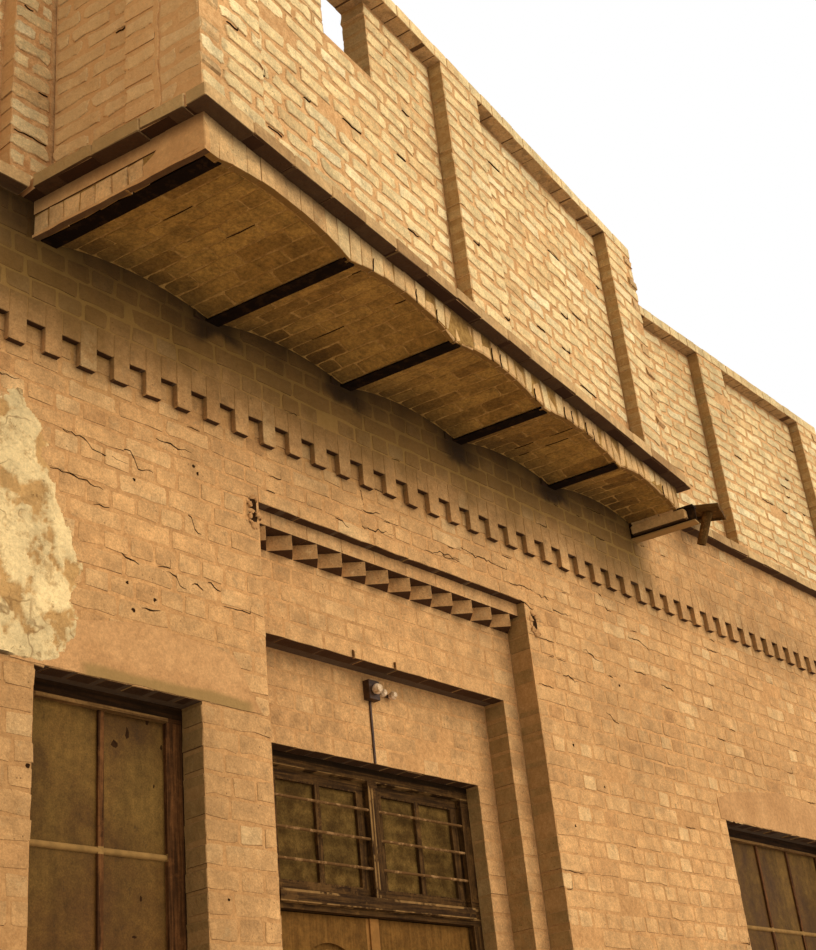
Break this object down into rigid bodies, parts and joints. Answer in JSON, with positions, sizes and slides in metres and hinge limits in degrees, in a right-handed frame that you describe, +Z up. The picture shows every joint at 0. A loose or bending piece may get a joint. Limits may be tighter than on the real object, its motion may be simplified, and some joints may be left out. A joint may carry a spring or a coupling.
{
  "type": "brick house front with a balcony on steel beams",
  "caption": "Hollow street-front house of brick with a roof terrace, a wedge-plan balcony on steel beams and shallow brick arches, and a stepped door recess with a double door.",
  "frame": {"origin": "on the ground, on the axis of the door, in the face of the lower front wall", "axes": "+X along the front, to the right seen from the street; +Y into the house; +Z up"},
  "size_m": [12.2, 5.8071, 7.175],
  "materials": {
    "wall_brick": "matte",
    "parapet_brick": "matte",
    "soffit_brick": "matte",
    "ledge_tile": "matte",
    "paving": "matte",
    "step_stone": "matte",
    "beam_steel": "matte",
    "bar_steel": "matte",
    "door_wood": "satin",
    "frame_wood": "matte",
    "window_wood": "matte",
    "window_sheet": "matte",
    "dusty_glass": "satin",
    "lamp_box": "matte"
  },
  "bodies": {
    "house": {"balcony_arches": "soffit_brick", "balcony_beams": "beam_steel", "balcony_end_beam": "beam_steel", "balcony_ledge": "ledge_tile", "balcony_parapet_front": "parapet_brick", "balcony_parapet_left": "parapet_brick", "balcony_parapet_right": "parapet_brick", "dentil_band": "wall_brick", "dentils": "wall_brick", "door_frame": "frame_wood", "door_head": "wall_brick", "door_jamb_left": "wall_brick", "door_jamb_right": "wall_brick", "door_lamp": "lamp_box", "floor_slab": "paving", "frieze_course": "wall_brick", "front_wall_left": "wall_brick", "front_wall_right": "wall_brick", "hinge_pins": "bar_steel", "ledge_left": "ledge_tile", "ledge_rear": "ledge_tile", "ledge_right": "ledge_tile", "parapet_front_left": "parapet_brick", "parapet_front_right": "parapet_brick", "parapet_rear": "parapet_brick", "parapet_side_left": "parapet_brick", "parapet_side_right": "parapet_brick", "party_wall_left": "wall_brick", "party_wall_right": "wall_brick", "rear_wall": "wall_brick", "recess_head": "wall_brick", "roof_arches": "soffit_brick", "roof_beams": "beam_steel", "roof_paving": "paving", "sawtooth_course": "wall_brick", "threshold": "step_stone", "transom_bars": "bar_steel", "transom_casements": "frame_wood", "transom_glass": "dusty_glass", "wall_bracket": "beam_steel", "wall_over_door": "wall_brick", "window_narrow": "window_wood", "window_panels": "window_sheet", "window_rear_left": "window_wood", "window_rear_right": "window_wood", "window_wide_left": "window_wood", "window_wide_right": "window_wood"},
    "leaf_left": {"door_leaf_left": "door_wood", "hinge_straps_left": "bar_steel"},
    "leaf_right": {"door_leaf_right": "door_wood", "hinge_straps_right": "bar_steel"}
  },
  "joints": [
    {"name": "door_left", "type": "hinge", "parent": "house", "child": "leaf_left", "pos_m": [-0.676, 0.441, 0.42], "axis": [0, 0, 1], "range_deg": [0, 90]},
    {"name": "door_right", "type": "hinge", "parent": "house", "child": "leaf_right", "pos_m": [0.676, 0.441, 0.42], "axis": [0, 0, -1], "range_deg": [0, 90]}
  ]
}
